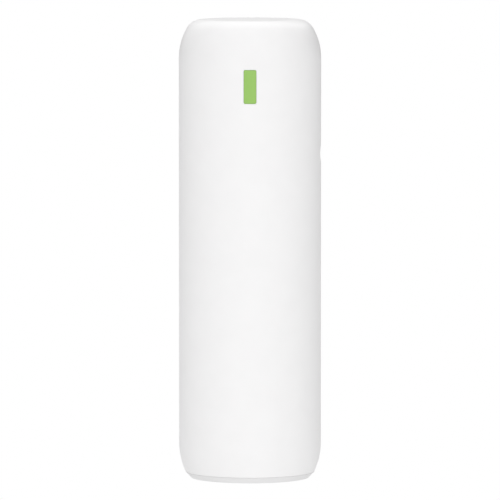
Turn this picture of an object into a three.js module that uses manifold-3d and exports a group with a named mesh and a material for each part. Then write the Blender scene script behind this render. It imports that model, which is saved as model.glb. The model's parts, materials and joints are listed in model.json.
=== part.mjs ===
// A mesh wifi node: a slim round tower with a status window at the front, a pairing button on
// its side and a recessed port bay at the back.
// Millimetres, +Z up, the front faces -Y, and the origin is the centre of the surface it stands on.
import * as THREE from "three";
import { mergeVertices } from "three/addons/utils/BufferGeometryUtils.js";
import Module from "manifold-3d";

const wasm = await Module();
wasm.setup();

// ---------------------------------------------------------------- driving dimensions

const GAP = 0.3; // clearance between pieces that meet
const SIDES = 48; // facets round the large turned pieces
const SMALL_SIDES = 14; // facets round screws and other small round pieces

// The tower's outline.
const HEIGHT = 201.1;
const OUTER_R = 31;
const WALL = 2;
const BASE_Z = 0.4; // the foot ring lifts the base this much
const SEAM_Z = 3.05; // where the sleeve ends and the base's chamfer begins
const BASE_R = 25.7; // edge of the base's flat underside
const LOW_ARC_R = 30.5; // the sleeve's inward curve above the seam
const LOW_ARC_RISE = 12.75;
const SHOULDER_R = 26.4; // the gentle curve below the top edge
const SHOULDER_TURN = 29.8; // degrees
const EDGE_R = 7.5; // the tight curve of the top edge
const DOME_SLOPE = 2.1; // degrees, where the edge meets the nearly flat top

// The base.
const FLOOR_THICKNESS = 2.2;
const SPIGOT_R = 25.3;
const SPIGOT_WALL = 2;
const SPIGOT_TOP_Z = 8;
const FOOT = { innerR: 19.2, outerR: 22.4, top: 1.2 };
const LABEL = { radius: 6.8, thickness: 0.2, recess: 0.4, gap: 0.1 };
const BASE_SCREW = { orbitR: 14, angles: [90, 210, 330], headR: 2.6, headH: 2, shaftR: 1.3, shaftL: 8 };
const BASE_BOSS = { radius: 4.2, top: 6 };

// The status window at the front.
const WINDOW = { width: 5.35, height: 14.5, corner: 0.6, z: 172.6, gap: 0.15 };
const GUIDE_FACE_Y = -30.85;

// The pairing button on the +X side.
const BUTTON = { width: 13, height: 7.4, z: 142.5, dishDepth: 0.4, gap: 0.2, flangeX: 26.4, flange: 1.2 };
const BUTTON_FLANGE_MARGIN = 1.2;
const SWITCH_X = 20.3; // back of the switch under the button

// The port bay at the back.
const BAY = { width: 31, height: 70, corner: 4, z: 56, faceY: 24.5, floor: 1.5, wall: 1.2 };
const MOUTH_Y = 24.3; // where the jacks' mouths lie, just under the panel's face
const DC_JACK_Z = 30;
const ETHERNET_JACK_Z = [50, 70];
const RESET = { x: -5, z: 84, pinholeR: 0.9 };

// Cooling slots in the sleeve above the port bay.
const VENT = { width: 1.8, height: 16, columns: 5, pitch: 4.6, rows: [112, 133] };

// The inner frame, which carries the board and the antenna carrier.
const FRAME = { baseZ: 9.3, topZ: 150, plate: 2, baseR: 23, baseHoleR: 8, topR: 24.2, footR: 3.2 };
const SIDE_POST = { x: 15.8, width: 10 }; // behind the pairing button
const CARRIER = { z: 152.3, top: 190, outerR: 21.5, wall: 1.8, plate: 2, topHoleR: 8 };
const CARRIER_SCREW = { orbitR: 17, angles: [90, 210, 330], headR: 2.2, headH: 1.6, shaftR: 1.1, shaftL: 4 };
const PLATE_HOLE_R = 13.5; // the opening in the middle of both, for the leads
const ANTENNA = {
  azimuths: [45, 135, 225, 315],
  distance: 22.2,
  width: 10,
  height: 30,
  thickness: 0.8,
  z: 157,
};
const PEG = { radius: 0.8, holeR: 1.15 };
const LEAD_HOLE = { z: 168, radius: 1.3 }; // where the antennas' leads pass through the carrier

// The main board stands upright; its components side faces +X.
const BOARD = { x: -8.6, thickness: 1.6, yFront: -22, yRear: 21.5, zLow: 12.5, zHigh: 149 };
const BOARD_FACE_X = BOARD.x + BOARD.thickness;
const ON_BOARD_X = BOARD_FACE_X + GAP; // where what is soldered on it begins
const HEATSINK = { baseX: -11.5, base: 2, width: 36, zLow: 58, zHigh: 132 };
const FINS = { count: 9, pitch: 3.1, thickness: 1, depth: 7.5 };
const HEATSINK_SCREW = { y: 15.6, z: [62, 128], headR: 2.2, headH: 1.5, shaftR: 1.2, shaftL: 4.6 };

// ---------------------------------------------------------------- geometry helpers

const { degToRad } = THREE.MathUtils;

function toSolid(geometry) {
  const bare = geometry.clone();
  bare.deleteAttribute("normal");
  bare.deleteAttribute("uv");
  const merged = mergeVertices(bare, 1e-4);
  const mesh = new wasm.Mesh({
    numProp: 3,
    vertProperties: merged.getAttribute("position").array,
    triVerts: new Uint32Array(merged.index.array),
  });
  return new wasm.Manifold(mesh);
}

function toGeometry(solid) {
  const { vertProperties, triVerts } = solid.getMesh();
  const geometry = new THREE.BufferGeometry();
  geometry.setAttribute("position", new THREE.BufferAttribute(vertProperties, 3));
  geometry.setIndex(new THREE.BufferAttribute(triVerts, 1));
  geometry.computeVertexNormals();
  return geometry;
}

function carve(geometry, ...cutters) {
  const carved = cutters.reduce((solid, cutter) => solid.subtract(toSolid(cutter)), toSolid(geometry));
  return toGeometry(carved);
}

function fuse(...geometries) {
  return toGeometry(geometries.map(toSolid).reduce((solid, next) => solid.add(next)));
}

function keepInside(geometry, limits) {
  return toGeometry(toSolid(geometry).intersect(toSolid(limits)));
}

// Turns a profile of [radius, height] points, listed anticlockwise, about the Z axis.
function turned(profile, sides = SIDES) {
  const points = profile.map(([radius, height]) => new THREE.Vector2(radius, height));
  return new THREE.LatheGeometry(points, sides).rotateX(Math.PI / 2);
}

function closed(profile) {
  return [...profile, profile[0]];
}

// Points [radius, height] on an arc; angles are in degrees above the outward direction.
function arc([centreR, centreZ], radius, from, to, steps) {
  return Array.from({ length: steps + 1 }, (_, i) => {
    const angle = degToRad(from + ((to - from) * i) / steps);
    return [centreR + radius * Math.cos(angle), centreZ + radius * Math.sin(angle)];
  });
}

function circle(radius) {
  return new THREE.Shape().absarc(0, 0, radius, 0, 2 * Math.PI);
}

function roundedRect(width, height, corner) {
  const x = width / 2 - corner;
  const y = height / 2 - corner;
  const shape = new THREE.Shape();
  shape.absarc(x, y, corner, 0, Math.PI / 2);
  shape.absarc(-x, y, corner, Math.PI / 2, Math.PI);
  shape.absarc(-x, -y, corner, Math.PI, 1.5 * Math.PI);
  shape.absarc(x, -y, corner, 1.5 * Math.PI, 2 * Math.PI);
  shape.closePath();
  return shape;
}

function pill(width, height) {
  const corner = Math.min(width, height) / 2;
  return roundedRect(width, height, corner - 0.001);
}

// Prisms of a shape drawn in the plane across their axis, from low to high along that axis.
// An arc of the shape, or its whole circle, gets twice as many facets as arcSteps.
const TO_X = new THREE.Matrix4().makeBasis(
  new THREE.Vector3(0, 1, 0),
  new THREE.Vector3(0, 0, 1),
  new THREE.Vector3(1, 0, 0),
);

function prismZ(shape, low, high, arcSteps = 1) {
  const options = { depth: high - low, bevelEnabled: false, curveSegments: arcSteps };
  return new THREE.ExtrudeGeometry(shape, options).translate(0, 0, low);
}

// The shape's x and y run along Y and Z.
function prismX(shape, low, high, arcSteps) {
  return prismZ(shape, low, high, arcSteps).applyMatrix4(TO_X);
}

// The shape's x and y run along X and Z.
function prismY(shape, low, high, arcSteps) {
  return prismZ(shape, -high, -low, arcSteps).rotateX(Math.PI / 2);
}

function box(low, high) {
  const size = high.map((value, i) => value - low[i]);
  const centre = high.map((value, i) => (value + low[i]) / 2);
  return new THREE.BoxGeometry(...size).translate(...centre);
}

function rod(radius, low, high) {
  return prismZ(circle(radius), low, high, SMALL_SIDES / 2);
}

// A thin round lead along a smooth curve through its points.
function lead(points, diameter) {
  const stops = points.map((point) => new THREE.Vector3(...point));
  const extrudePath = new THREE.CatmullRomCurve3(stops, false, "centripetal");
  const options = { steps: 12, extrudePath, bevelEnabled: false, curveSegments: 3 };
  return new THREE.ExtrudeGeometry(circle(diameter / 2), options);
}

function polar(radius, degrees, z = 0) {
  return [radius * Math.cos(degToRad(degrees)), radius * Math.sin(degToRad(degrees)), z];
}

// Upright rods at the places round the axis that a ring of screws gives.
function rodsOn({ orbitR, angles }, radius, low, high) {
  return angles.map((angle) => rod(radius, low, high).translate(...polar(orbitR, angle)));
}

// ---------------------------------------------------------------- materials and nodes

const material = (color, roughness, metalness = 0) => () =>
  new THREE.MeshStandardMaterial({ color, roughness, metalness });

const whiteShell = material(0xf4f4f4, 0.5);
const whiteBase = material(0xe4e5e6, 0.55);
const paleGrey = material(0xd8dadb, 0.55);
const frameGrey = material(0x8f9498, 0.7);
const blackPlastic = material(0x1b1c1e, 0.6);
const chipBlack = material(0x232426, 0.5);
const greenLens = material(0x8fc96a, 0.35);
const greyRubber = material(0x8b8e90, 0.9);
const boardGreen = material(0x1f5a3c, 0.45);
const steel = material(0xb8bcc0, 0.35, 0.9);
const gold = material(0xd9b45a, 0.3, 1);
const aluminium = material(0xc4c7ca, 0.4, 0.9);
const labelWhite = material(0xe9e9e6, 0.8);
const ledWhite = material(0xf2f6ea, 0.3);
const leadBlack = material(0x202022, 0.7);
const capacitorBlue = material(0x2b3a55, 0.4);
const padPink = material(0xb9a3a8, 0.9);

function node(name, geometry, makeMaterial, position = [0, 0, 0]) {
  const mesh = new THREE.Mesh(geometry, makeMaterial());
  mesh.name = name;
  mesh.position.set(...position);
  return mesh;
}

function group(...children) {
  return new THREE.Group().add(...children);
}

// ---------------------------------------------------------------- housing

// The tower's skin from the seam to the top of the dome, moved inwards by inset, with each
// curve in as many straight steps as given.
function skin(inset, steps = 4) {
  const lowCentre = [OUTER_R - LOW_ARC_R, SEAM_Z + LOW_ARC_RISE];
  const lowR = LOW_ARC_R - inset;
  const lowTurn = THREE.MathUtils.radToDeg(Math.asin(LOW_ARC_RISE / lowR));
  const turn = degToRad(SHOULDER_TURN);
  const domeStart = 90 - DOME_SLOPE;
  const edgeStep = SHOULDER_R - EDGE_R;
  const edgeCentreR = OUTER_R - SHOULDER_R + edgeStep * Math.cos(turn);
  const domeEdgeR = edgeCentreR + EDGE_R * Math.cos(degToRad(domeStart));
  const domeR = domeEdgeR / Math.cos(degToRad(domeStart));
  const domeCentre = [0, HEIGHT - domeR];
  const edgeCentreZ = domeCentre[1] + (domeR - EDGE_R) * Math.sin(degToRad(domeStart));
  const shoulderCentre = [OUTER_R - SHOULDER_R, edgeCentreZ - edgeStep * Math.sin(turn)];
  return [
    ...arc(lowCentre, lowR, -lowTurn, 0, steps),
    ...arc(shoulderCentre, SHOULDER_R - inset, 0, SHOULDER_TURN, steps),
    ...arc([edgeCentreR, edgeCentreZ], EDGE_R - inset, SHOULDER_TURN, domeStart, steps).slice(1),
    [0, HEIGHT - inset],
  ];
}

const envelope = turned([[0, SEAM_Z], ...skin(0)]);

function ventSlots() {
  const shape = pill(VENT.width, VENT.height);
  const middle = (VENT.columns - 1) / 2;
  return VENT.rows.flatMap((z) =>
    Array.from({ length: VENT.columns }, (_, i) =>
      prismY(shape, OUTER_R / 2, OUTER_R + 1).translate((i - middle) * VENT.pitch, 0, z),
    ),
  );
}

function makeOuterSleeve() {
  const inside = skin(WALL, 2);
  const hollow = turned([[0, SEAM_Z - 1], [inside[0][0], SEAM_Z - 1], ...inside]);
  const bay = prismY(roundedRect(BAY.width, BAY.height, BAY.corner), OUTER_R / 2, OUTER_R + 1, 2);
  const window = roundedRect(
    WINDOW.width + 2 * WINDOW.gap,
    WINDOW.height + 2 * WINDOW.gap,
    WINDOW.corner + WINDOW.gap,
  );
  const buttonHole = pill(BUTTON.width + 2 * BUTTON.gap, BUTTON.height + 2 * BUTTON.gap);
  const geometry = carve(
    envelope,
    hollow,
    bay.translate(0, 0, BAY.z),
    prismY(window, -OUTER_R - 1, -OUTER_R / 2).translate(0, 0, WINDOW.z),
    prismX(buttonHole, OUTER_R / 2, OUTER_R + 1, 2).translate(0, 0, BUTTON.z),
    ...ventSlots(),
  );
  return node("outer_sleeve", geometry, whiteShell);
}

// Cooling slots in the base: four in each of the three sectors between the screws.
function baseSlots() {
  const slotFrom = 10;
  const slotTo = 18;
  const offsets = [24, 48, 72, 96];
  return BASE_SCREW.angles.flatMap((start) =>
    offsets.map((offset) =>
      prismZ(pill(slotTo - slotFrom, 1.8), 0, 2 * FLOOR_THICKNESS)
        .translate((slotFrom + slotTo) / 2, 0, 0)
        .rotateZ(degToRad(start + offset)),
    ),
  );
}

function makeBottomCover() {
  const floorTop = BASE_Z + FLOOR_THICKNESS;
  const rimTop = SEAM_Z - GAP;
  const seamR = skin(0)[0][0];
  const body = turned([
    [0, BASE_Z],
    [BASE_R, BASE_Z],
    [seamR - GAP / 2, rimTop],
    [SPIGOT_R, rimTop],
    [SPIGOT_R, SPIGOT_TOP_Z],
    [SPIGOT_R - SPIGOT_WALL, SPIGOT_TOP_Z],
    [SPIGOT_R - SPIGOT_WALL, floorTop],
    [0, floorTop],
  ]);
  const groove = turned(
    closed([
      [FOOT.innerR - GAP, 0],
      [FOOT.outerR + GAP, 0],
      [FOOT.outerR + GAP, FOOT.top + GAP],
      [FOOT.innerR - GAP, FOOT.top + GAP],
    ]),
  );
  const bosses = rodsOn(BASE_SCREW, BASE_BOSS.radius, BASE_Z + 1, BASE_BOSS.top);
  const headHoles = rodsOn(BASE_SCREW, BASE_SCREW.headR + GAP, 0, BASE_Z + BASE_SCREW.headH + 2 * GAP);
  const shaftHoles = rodsOn(BASE_SCREW, BASE_SCREW.shaftR + GAP, 0, BASE_BOSS.top + 1);
  const labelRecess = rod(LABEL.radius + GAP, 0, BASE_Z + LABEL.recess);
  const shell = fuse(body, ...bosses);
  const geometry = carve(shell, groove, labelRecess, ...headHoles, ...shaftHoles, ...baseSlots());
  return node("bottom_cover", geometry, whiteBase);
}

function makeFootRing() {
  const profile = [
    [FOOT.innerR, 0],
    [FOOT.outerR, 0],
    [FOOT.outerR, FOOT.top],
    [FOOT.innerR, FOOT.top],
  ];
  return node("foot_ring", turned(closed(profile), 32), greyRubber);
}

function makeRatingLabel() {
  const top = BASE_Z + LABEL.recess - LABEL.gap;
  return node("rating_label", rod(LABEL.radius, top - LABEL.thickness, top), labelWhite);
}

// A pan-head screw whose shaft runs up from the underside of its head.
function screwGeometry({ headR, headH, shaftR, shaftL }) {
  return fuse(rod(headR, 0, headH), rod(shaftR, headH / 2, headH + shaftL));
}

function makeBaseScrews() {
  return BASE_SCREW.angles.map((angle, i) => {
    const place = polar(BASE_SCREW.orbitR, angle, BASE_Z + GAP);
    return node(`base_screw_${i + 1}`, screwGeometry(BASE_SCREW), steel, place);
  });
}

// The recessed tray that frames the ports; its rim is flush with the sleeve.
function makePortPanel() {
  const width = BAY.width - 2 * GAP;
  const height = BAY.height - 2 * GAP;
  const corner = BAY.corner - GAP;
  const outer = prismY(roundedRect(width, height, corner), BAY.faceY - BAY.floor, OUTER_R + 1, 2);
  const pocketShape = roundedRect(width - 2 * BAY.wall, height - 2 * BAY.wall, corner - BAY.wall);
  const pocket = prismY(pocketShape, BAY.faceY, OUTER_R + 2, 2);
  const tray = keepInside(outer.translate(0, 0, BAY.z), envelope);
  const through = [BAY.faceY - BAY.floor - 1, BAY.faceY + 1];
  const jackHole = roundedRect(ETHERNET.height + 2 * GAP, ETHERNET.width + 2 * GAP, 0.5);
  const geometry = carve(
    tray,
    pocket.translate(0, 0, BAY.z),
    ...ETHERNET_JACK_Z.map((z) => prismY(jackHole, ...through).translate(0, 0, z)),
    prismY(circle(DC_JACK.noseR + GAP), ...through, 12).translate(0, 0, DC_JACK_Z),
    prismY(circle(RESET.pinholeR), ...through, 5).translate(RESET.x, 0, RESET.z),
  );
  return node("port_panel", geometry, paleGrey);
}

// ---------------------------------------------------------------- status light

const LED_BOARD = { width: 12, height: 20, back: -22.6, front: -23.4 };
const LED = { width: 3.5, height: 2.8, thickness: 1, z: [-3, 3] };
const LIGHT_BAFFLE = { width: 9, height: 15.6, innerWidth: 6.4, innerHeight: 13, front: -27.1 };

function makeLightGuide() {
  const flangeFront = -28.3;
  const flangeBack = -27.4;
  const tailBack = -25;
  return node(
    "light_guide",
    fuse(
      prismY(roundedRect(WINDOW.width, WINDOW.height, WINDOW.corner), GUIDE_FACE_Y, flangeFront + 0.1),
      prismY(roundedRect(7.6, 17, 1), flangeFront, flangeBack),
      prismY(roundedRect(4, 12, 0.5), flangeBack - 0.1, tailBack),
    ),
    greenLens,
  );
}

function makeLightBaffle() {
  const shape = roundedRect(LIGHT_BAFFLE.width, LIGHT_BAFFLE.height, 1);
  shape.holes.push(roundedRect(LIGHT_BAFFLE.innerWidth, LIGHT_BAFFLE.innerHeight, 0.5));
  return node("light_baffle", prismY(shape, LIGHT_BAFFLE.front, LED_BOARD.front - GAP), blackPlastic);
}

function makeLedBoard() {
  const shape = roundedRect(LED_BOARD.width, LED_BOARD.height, 1);
  const plate = prismY(shape, LED_BOARD.front, LED_BOARD.back);
  return node("led_board", carve(plate, ...ledPegs(PEG.holeR, LED_BOARD.front - 1)), boardGreen);
}

// The two pegs that hold the light's board, or the holes for them, in the board's own frame.
function ledPegs(radius, front) {
  return [-1, 1].map((side) => {
    const z = side * (LED_BOARD.height / 2 - 1.8);
    return prismY(circle(radius), front, -CARRIER.outerR + 1, 4).translate(0, 0, z);
  });
}

function makeStatusLeds() {
  const front = LED_BOARD.front - GAP - LED.thickness;
  return LED.z.map((z, i) => {
    const geometry = new THREE.BoxGeometry(LED.width, LED.thickness, LED.height);
    return node(`status_led_${i + 1}`, geometry, ledWhite, [0, front + LED.thickness / 2, z]);
  });
}

function makeStatusLight() {
  const light = group(makeLightGuide(), makeLightBaffle(), makeLedBoard(), ...makeStatusLeds());
  light.position.z = WINDOW.z;
  return light;
}

function makeLedLead() {
  const points = [
    [3, -23, WINDOW.z - LED_BOARD.height / 2 - GAP - 0.6],
    [3, -23.4, 154],
    [2.6, -23.2, 149],
    [0, -19.5, 144.5],
    [ON_BOARD_X + 0.3, -17, 141.5],
  ];
  return node("led_lead", lead(points, 1.4), leadBlack);
}

// ---------------------------------------------------------------- pairing button

const TACT = { side: 6, thickness: 3.1, boreR: 1.9, boreDepth: 2.2, plungerR: 1.65, plungerL: 2 };
const BUTTON_BOARD = { back: 18.7, thickness: 1.3, width: 14, height: 15 };

function makePairButton() {
  const flangeWidth = BUTTON.width + 2 * BUTTON_FLANGE_MARGIN;
  const flangeHeight = BUTTON.height + 2 * BUTTON_FLANGE_MARGIN;
  const flangeFront = BUTTON.flangeX + BUTTON.flange;
  const halfHeight = BUTTON.height / 2;
  const dishR = (halfHeight ** 2 + BUTTON.dishDepth ** 2) / (2 * BUTTON.dishDepth);
  const dish = prismY(circle(dishR), -BUTTON.width, BUTTON.width, 48);
  const cap = prismX(pill(BUTTON.width, BUTTON.height), flangeFront - 0.1, OUTER_R + 1, 2);
  const face = carve(
    keepInside(cap.translate(0, 0, BUTTON.z), envelope),
    dish.translate(OUTER_R - BUTTON.dishDepth + dishR, 0, BUTTON.z),
  );
  const flange = prismX(pill(flangeWidth, flangeHeight), BUTTON.flangeX, flangeFront, 2);
  const stemEnd = SWITCH_X + TACT.thickness + 0.7 + GAP;
  const stem = prismX(circle(1.6), stemEnd, BUTTON.flangeX + 0.1, 6);
  const geometry = fuse(face, flange.translate(0, 0, BUTTON.z), stem.translate(0, 0, BUTTON.z));
  return node("pair_button", geometry, whiteShell);
}

// A push switch with a round plunger; the switch lies along +X, with its back at the origin.
function tactSwitchGeometry() {
  const body = box([0, -TACT.side / 2, -TACT.side / 2], [TACT.thickness, TACT.side / 2, TACT.side / 2]);
  const bore = prismX(circle(TACT.boreR), TACT.thickness - TACT.boreDepth, TACT.thickness + 1, 6);
  return carve(body, bore);
}

function makePairSwitch() {
  return node("pair_switch", tactSwitchGeometry(), blackPlastic, [SWITCH_X, 0, BUTTON.z]);
}

function makePairSwitchPlunger() {
  const geometry = prismX(circle(TACT.plungerR), -TACT.plungerL, 0, 6);
  return node("pair_switch_plunger", geometry, paleGrey, [SWITCH_X + TACT.thickness + 0.7, 0, BUTTON.z]);
}

function makeButtonBoard() {
  const shape = roundedRect(BUTTON_BOARD.width, BUTTON_BOARD.height, 1);
  const geometry = prismX(shape, 0, BUTTON_BOARD.thickness);
  return node("button_board", geometry, boardGreen, [BUTTON_BOARD.back, 0, BUTTON.z]);
}

function makeButtonLead() {
  const points = [
    [BUTTON_BOARD.back - GAP, 6, 138],
    [14, 7, 137],
    [8, 7.5, 124],
    [1, 6, 106],
    [ON_BOARD_X + 0.3, 4, 99],
  ];
  return node("button_lead", lead(points, 1.4), leadBlack);
}

// ---------------------------------------------------------------- inner frame and antennas

// A channel that holds one upright edge of the board; side is -1 at the front and 1 at the rear.
function boardRail(side, edgeY, zLow) {
  const lip = 2.1;
  const back = 0.8;
  const cheek = 1.5;
  const inner = edgeY - side * lip;
  const outer = edgeY + side * (GAP + back);
  const slotEnd = edgeY + side * GAP;
  const yRange = (a, b) => [Math.min(a, b), Math.max(a, b)];
  const [low, high] = yRange(inner, outer);
  const [slotLow, slotHigh] = yRange(inner - side, slotEnd);
  const channel = box([BOARD.x - GAP - cheek, low, zLow], [ON_BOARD_X + cheek, high, FRAME.topZ + 1]);
  const slot = box([BOARD.x - GAP, slotLow, zLow - 1], [ON_BOARD_X, slotHigh, BOARD.zHigh + GAP]);
  return carve(channel, slot);
}

function makeInnerFrame() {
  const baseTop = FRAME.baseZ + FRAME.plate;
  const basePlate = turned(
    closed([
      [FRAME.baseHoleR, FRAME.baseZ],
      [FRAME.baseR, FRAME.baseZ],
      [FRAME.baseR, baseTop],
      [FRAME.baseHoleR, baseTop],
    ]),
    32,
  );
  const topPlate = turned(
    closed([
      [PLATE_HOLE_R, FRAME.topZ],
      [FRAME.topR, FRAME.topZ],
      [FRAME.topR, FRAME.topZ + FRAME.plate],
      [PLATE_HOLE_R, FRAME.topZ + FRAME.plate],
    ]),
    32,
  );
  const sidePost = box(
    [SIDE_POST.x, -SIDE_POST.width / 2, FRAME.baseZ + 1],
    [BUTTON_BOARD.back - GAP, SIDE_POST.width / 2, FRAME.topZ + 1],
  );
  const feet = rodsOn(BASE_SCREW, FRAME.footR, BASE_BOSS.top + GAP, FRAME.baseZ + 1);
  const footHoles = rodsOn(BASE_SCREW, BASE_SCREW.shaftR + GAP, 0, baseTop + 1);
  const carrierHoles = rodsOn(CARRIER_SCREW, CARRIER_SCREW.shaftR + GAP, FRAME.topZ - 1, FRAME.topZ + 3);
  const leadNotch = box([0.5, -FRAME.topR - 1, FRAME.topZ - 1], [5, -FRAME.topR + 2.4, FRAME.topZ + 3]);
  const railAboveBay = BAY.z + BAY.height / 2 + 2;
  const geometry = carve(
    fuse(
      basePlate,
      topPlate,
      sidePost,
      ...feet,
      boardRail(-1, BOARD.yFront, FRAME.baseZ + 1),
      boardRail(1, BOARD.yRear, railAboveBay),
    ),
    ...footHoles,
    ...carrierHoles,
    leadNotch,
  );
  return node("inner_frame", geometry, frameGrey);
}

// Pegs or peg holes for one antenna, in the frame where the antenna faces -Y.
function antennaPegs(radius, outerEnd) {
  return [6, ANTENNA.height - 6].map((z) =>
    prismY(circle(radius), -outerEnd, -CARRIER.outerR + 1, 4).translate(0, 0, ANTENNA.z + z),
  );
}

function turnedTo(geometry, azimuth) {
  return geometry.rotateZ(degToRad(azimuth + 90));
}

function makeAntennaCarrier() {
  const innerR = CARRIER.outerR - CARRIER.wall;
  const drum = turned(
    closed([
      [PLATE_HOLE_R, CARRIER.z],
      [CARRIER.outerR, CARRIER.z],
      [CARRIER.outerR, CARRIER.top],
      [CARRIER.topHoleR, CARRIER.top],
      [CARRIER.topHoleR, CARRIER.top - CARRIER.plate],
      [innerR, CARRIER.top - CARRIER.plate],
      [innerR, CARRIER.z + CARRIER.plate],
      [PLATE_HOLE_R, CARRIER.z + CARRIER.plate],
    ]),
    32,
  );
  const pegEnd = ANTENNA.distance + ANTENNA.thickness + 0.3;
  const pegs = ANTENNA.azimuths.flatMap((azimuth) =>
    antennaPegs(PEG.radius, pegEnd).map((peg) => turnedTo(peg, azimuth)),
  );
  const lightPegs = ledPegs(PEG.radius, LED_BOARD.front + 0.1).map((peg) => peg.translate(0, 0, WINDOW.z));
  const leadHoles = ANTENNA.azimuths.map((azimuth) => {
    const hole = prismY(circle(LEAD_HOLE.radius), -CARRIER.outerR - 1, -CARRIER.outerR + 4, 4);
    return turnedTo(hole.translate(0, 0, LEAD_HOLE.z), azimuth);
  });
  const screwHoles = rodsOn(CARRIER_SCREW, CARRIER_SCREW.shaftR + GAP, CARRIER.z - 1, CARRIER.z + 3);
  const geometry = carve(fuse(drum, ...pegs, ...lightPegs), ...leadHoles, ...screwHoles);
  return node("antenna_carrier", geometry, frameGrey);
}

// The carrier's screws go in from above, with their heads on its floor.
function makeCarrierScrews() {
  return CARRIER_SCREW.angles.map((angle, i) => {
    const top = CARRIER.z + CARRIER.plate + GAP + CARRIER_SCREW.headH;
    const geometry = screwGeometry(CARRIER_SCREW).rotateX(Math.PI);
    return node(`carrier_screw_${i + 1}`, geometry, steel, polar(CARRIER_SCREW.orbitR, angle, top));
  });
}

// A stamped antenna: a strip with a long and a short arm.
function antennaShape() {
  const half = ANTENNA.width / 2;
  const outline = [
    [-half, 0],
    [half, 0],
    [half, ANTENNA.height],
    [-half, ANTENNA.height],
    [-half, ANTENNA.height - 9],
    [half - 2.5, ANTENNA.height - 9],
    [half - 2.5, ANTENNA.height - 10.5],
    [-half, ANTENNA.height - 10.5],
  ];
  return new THREE.Shape(outline.map(([x, y]) => new THREE.Vector2(x, y)));
}

function makeAntennas() {
  return ANTENNA.azimuths.map((azimuth, i) => {
    const outer = ANTENNA.distance + ANTENNA.thickness;
    const plate = prismY(antennaShape(), -outer, -ANTENNA.distance).translate(0, 0, ANTENNA.z);
    const holes = antennaPegs(PEG.holeR, outer + 1);
    const antenna = node(`antenna_${i + 1}`, carve(plate, ...holes), gold);
    antenna.rotation.z = degToRad(azimuth + 90);
    return antenna;
  });
}

// Each antenna's lead runs from the board, up through the plates' middle, and out to its antenna.
function makeAntennaLeads() {
  const startY = [6, 14, -6, -14];
  return ANTENNA.azimuths.map((azimuth, i) => {
    const points = [
      [ON_BOARD_X + 0.3, startY[i], 143.5],
      [-3.5, startY[i], 144.5],
      [-1, startY[i] * 0.6, 150],
      polar(8, azimuth, 158),
      polar(15, azimuth, 165.5),
      polar(ANTENNA.distance - GAP, azimuth, LEAD_HOLE.z),
    ];
    return node(`antenna_lead_${i + 1}`, lead(points, 1.2), leadBlack);
  });
}

// ---------------------------------------------------------------- main board and its components

const ETHERNET = {
  height: 13.4, // off the board
  width: 15.8,
  depth: 21,
  cavityLow: -5.3,
  cavityHigh: 3.3,
  cavityWidth: 11.9,
  cavityDepth: 16,
  latchHigh: 5.7,
  latchWidth: 6.4,
};
const CONTACT = { count: 8, pitch: 1.02, width: 0.45, thickness: 0.35 };
const DC_JACK = {
  noseR: 4.5,
  nose: 2.7,
  boreR: 3.2,
  boreDepth: 9.5,
  pinR: 1,
  body: 11.8,
  width: 9.2,
  top: 4.9,
};

function makeMainBoard() {
  const geometry = box([0, BOARD.yFront, BOARD.zLow], [BOARD.thickness, BOARD.yRear, BOARD.zHigh]);
  return node("main_board", geometry, boardGreen, [BOARD.x, 0, 0]);
}

// A component soldered flat on the board's +X side, by its centre and its size.
function makeComponent(name, makeMaterial, { y, z, width, height, thickness }) {
  const geometry = new THREE.BoxGeometry(thickness, width, height);
  return node(name, geometry, makeMaterial, [ON_BOARD_X + thickness / 2, y, z]);
}

// A shield can: a shallow steel box with chamfered edges.
function makeShieldCan(name, { y, z, width, height, thickness }) {
  const chamfer = 0.6;
  const shape = roundedRect(width - 2 * chamfer, height - 2 * chamfer, 0.5);
  const options = {
    depth: thickness,
    bevelThickness: chamfer,
    bevelSize: chamfer,
    bevelSegments: 1,
    curveSegments: 1,
  };
  const can = new THREE.ExtrudeGeometry(shape, options).translate(0, 0, -chamfer).applyMatrix4(TO_X);
  const kept = keepInside(can, box([0, -width, -height], [thickness, width, height]));
  return node(name, kept, steel, [ON_BOARD_X, y, z]);
}

// An Ethernet jack lying on its side; its mouth faces +Y at the origin.
function ethernetJackGeometry() {
  const half = ETHERNET.width / 2;
  const cavityHalf = ETHERNET.cavityWidth / 2;
  const latchHalf = ETHERNET.latchWidth / 2;
  const shell = box([-ETHERNET.height / 2, -ETHERNET.depth, -half], [ETHERNET.height / 2, 0, half]);
  const cavity = box(
    [ETHERNET.cavityLow, -ETHERNET.cavityDepth, -cavityHalf],
    [ETHERNET.cavityHigh, 1, cavityHalf],
  );
  const latch = box([0, 2 - ETHERNET.cavityDepth, -latchHalf], [ETHERNET.latchHigh, 1, latchHalf]);
  return carve(shell, cavity, latch);
}

// Eight sprung contacts on one bar, slanting back from the jack's mouth into its cavity.
function jackContactsGeometry() {
  const low = ETHERNET.cavityLow + GAP;
  const bar = box([low, -3.6, -4.2], [low + 0.7, -2.6, 4.2]);
  const profile = new THREE.Shape(
    [
      [low, -2.6],
      [low, -3.6],
      [low + 2.4, -13],
      [low + 2.4 + CONTACT.thickness, -13],
      [low + 0.7, -2.6],
    ].map(([x, y]) => new THREE.Vector2(x, y)),
  );
  const fingers = Array.from({ length: CONTACT.count }, (_, i) => {
    const z = (i - (CONTACT.count - 1) / 2) * CONTACT.pitch;
    return prismZ(profile, z - CONTACT.width / 2, z + CONTACT.width / 2);
  });
  return fuse(bar, ...fingers);
}

function makeEthernetPorts() {
  return ETHERNET_JACK_Z.flatMap((z, i) => {
    const port = group(
      node(`ethernet_jack_${i + 1}`, ethernetJackGeometry(), blackPlastic),
      node(`jack_contacts_${i + 1}`, jackContactsGeometry(), gold),
    );
    port.position.set(0, MOUTH_Y, z);
    return port;
  });
}

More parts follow.
